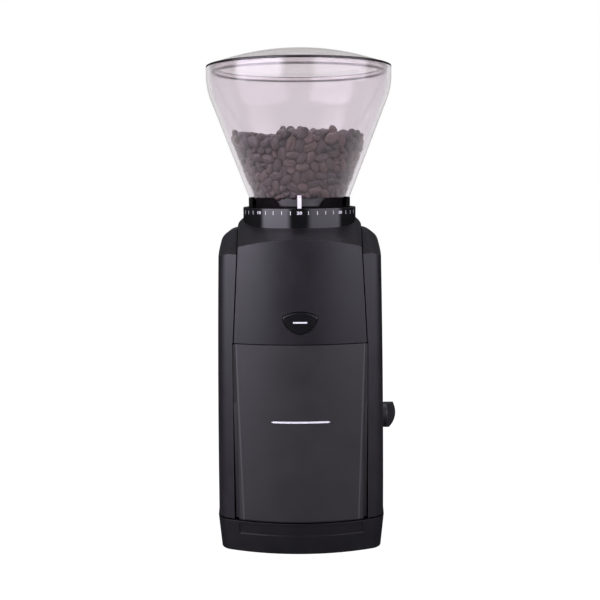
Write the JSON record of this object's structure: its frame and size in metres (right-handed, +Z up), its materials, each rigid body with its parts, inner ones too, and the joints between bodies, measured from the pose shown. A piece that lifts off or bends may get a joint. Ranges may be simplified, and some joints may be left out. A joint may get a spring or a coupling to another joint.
{
  "type": "burr coffee grinder",
  "caption": "Upright electric conical burr coffee grinder: clear bean hopper on a numbered ring, dark plastic body with a pulse button, side knob and a smoked pull-out grounds bin.",
  "frame": {"origin": "on the rest plane under the foot ring, on the vertical axis of the hopper and the burrs", "axes": "+Z up along the hopper axis, -Y towards the front with the grounds bin, +X towards the power knob"},
  "size_m": [0.1393, 0.1627, 0.3481],
  "materials": {
    "base_shell": "satin",
    "bottom_plate": "matte",
    "foot_rubber": "matte",
    "body_shell": "satin",
    "side_shell": "satin",
    "rear_shell": "satin",
    "inner_plastic": "matte",
    "damper_rubber": "matte",
    "gland_rubber": "matte",
    "hopper_clear": "polished",
    "lid_clear": "polished",
    "scale_gloss": "polished",
    "adjuster_plastic": "satin",
    "throat_plastic": "satin",
    "carrier_plastic": "matte",
    "spring_steel": "drawn wire",
    "burr_steel": "ground",
    "gasket_silicone": "matte",
    "shaft_steel": "turned",
    "fastener_steel": "zinc plated",
    "paddle_plastic": "satin",
    "felt": "pressed felt",
    "bin_smoke": "polished",
    "gearbox_plastic": "glass filled",
    "bearing_steel": "ground",
    "gear_plastic": "satin",
    "motor_steel": "zinc plated",
    "ferrite": "matte",
    "carbon": "matte",
    "bearing_bronze": "sintered",
    "pinion_brass": "machined",
    "armature_steel": "laminated",
    "commutator_copper": "turned",
    "cutout_plastic": "matte",
    "button_plastic": "satin",
    "plunger_plastic": "satin",
    "switch_plastic": "matte",
    "knob_plastic": "satin",
    "board_green": "lacquered",
    "capacitor_sleeve": "polished",
    "sink_aluminium": "extruded",
    "terminal_plastic": "satin"
  },
  "bodies": {
    "housing": {"base": "base_shell", "bottom_plate": "bottom_plate", "foot_ring": "foot_rubber", "upper_housing": "body_shell", "left_side_cover": "side_shell", "right_side_cover": "side_shell", "rear_cover": "rear_shell", "bin_bay": "inner_plastic", "damper_mounts": "damper_rubber", "cable_gland": "gland_rubber", "scale_ring": "scale_gloss", "carrier_springs": "spring_steel", "felt_washer": "felt", "grind_chamber": "inner_plastic", "grounds_chute": "inner_plastic", "gearbox_housing": "gearbox_plastic", "gearbox_cover": "gearbox_plastic", "gearbox_screws": "fastener_steel", "shaft_bearings": "bearing_steel", "intermediate_pin": "shaft_steel", "motor_can": "motor_steel", "motor_end_bell": "gearbox_plastic", "motor_magnets": "ferrite", "motor_brushes": "carbon", "motor_bearings": "bearing_bronze", "thermal_cutout": "cutout_plastic", "pulse_switch": "switch_plastic", "rotary_switch": "switch_plastic", "circuit_board": "board_green", "capacitor": "capacitor_sleeve", "heat_sink": "sink_aluminium", "terminal_block": "terminal_plastic", "base_screws": "fastener_steel"},
    "adjuster": {"adjuster_ring": "adjuster_plastic", "throat_liner": "throat_plastic"},
    "hopper": {"hopper": "hopper_clear"},
    "lid": {"hopper_lid": "lid_clear"},
    "carrier": {"burr_carrier": "carrier_plastic", "ring_burr": "burr_steel", "burr_gasket": "gasket_silicone"},
    "drive": {"main_shaft": "shaft_steel", "drive_gear": "gear_plastic", "paddle_wheel": "paddle_plastic", "cone_burr": "burr_steel", "burr_washer": "fastener_steel", "burr_nut": "fastener_steel"},
    "intermediate": {"intermediate_gear": "gear_plastic"},
    "rotor": {"motor_shaft": "shaft_steel", "motor_pinion": "pinion_brass", "armature": "armature_steel", "commutator": "commutator_copper"},
    "bin": {"grounds_bin": "bin_smoke"},
    "button": {"pulse_button": "button_plastic", "switch_plunger": "plunger_plastic"},
    "knob": {"power_knob": "knob_plastic", "switch_shaft": "plunger_plastic"}
  },
  "joints": [
    {"name": "grind_adjust", "type": "hinge", "parent": "housing", "child": "adjuster", "pos_m": [0, 0, 0.228], "axis": [0, 0, 1], "range_deg": [-88, 88]},
    {"name": "hopper_lift", "type": "slide", "parent": "adjuster", "child": "hopper", "axis": [0, 0, 1], "range_m": [0, 0.045]},
    {"name": "lid_lift", "type": "slide", "parent": "hopper", "child": "lid", "axis": [0, 0, 1], "range_m": [0, 0.04]},
    {"name": "carrier_travel", "type": "slide", "parent": "housing", "child": "carrier", "axis": [0, 0, 1], "range_m": [-0.00061, 0.00061], "deforming": ["carrier_springs"]},
    {"name": "bin_slide", "type": "slide", "parent": "housing", "child": "bin", "axis": [0, -1, 0], "range_m": [0, 0.09]},
    {"name": "pulse_press", "type": "slide", "parent": "housing", "child": "button", "axis": [0, 1, 0], "range_m": [0, 0.0025], "stiffness_N_per_m": 400, "springref_m": -0.002},
    {"name": "power_turn", "type": "hinge", "parent": "housing", "child": "knob", "pos_m": [0.06, 0.02, 0.0748], "axis": [1, 0, 0], "range_deg": [0, 60]},
    {"name": "motor_spin", "type": "hinge", "parent": "housing", "child": "rotor", "pos_m": [0, 0.0518, 0.13], "axis": [0, 0, 1], "continuous": true},
    {"name": "intermediate_spin", "type": "hinge", "parent": "housing", "child": "intermediate", "pos_m": [0, 0.031, 0.175], "axis": [0, 0, 1], "continuous": true},
    {"name": "drive_spin", "type": "hinge", "parent": "housing", "child": "drive", "pos_m": [0, 0, 0.2], "axis": [0, 0, 1], "continuous": true}
  ],
  "couplings": [
    {"joint": "carrier_travel", "follows": "grind_adjust", "m_per_rad": 0.00039065},
    {"joint": "intermediate_spin", "follows": "motor_spin", "ratio": -0.2381},
    {"joint": "drive_spin", "follows": "motor_spin", "ratio": 0.057143}
  ]
}
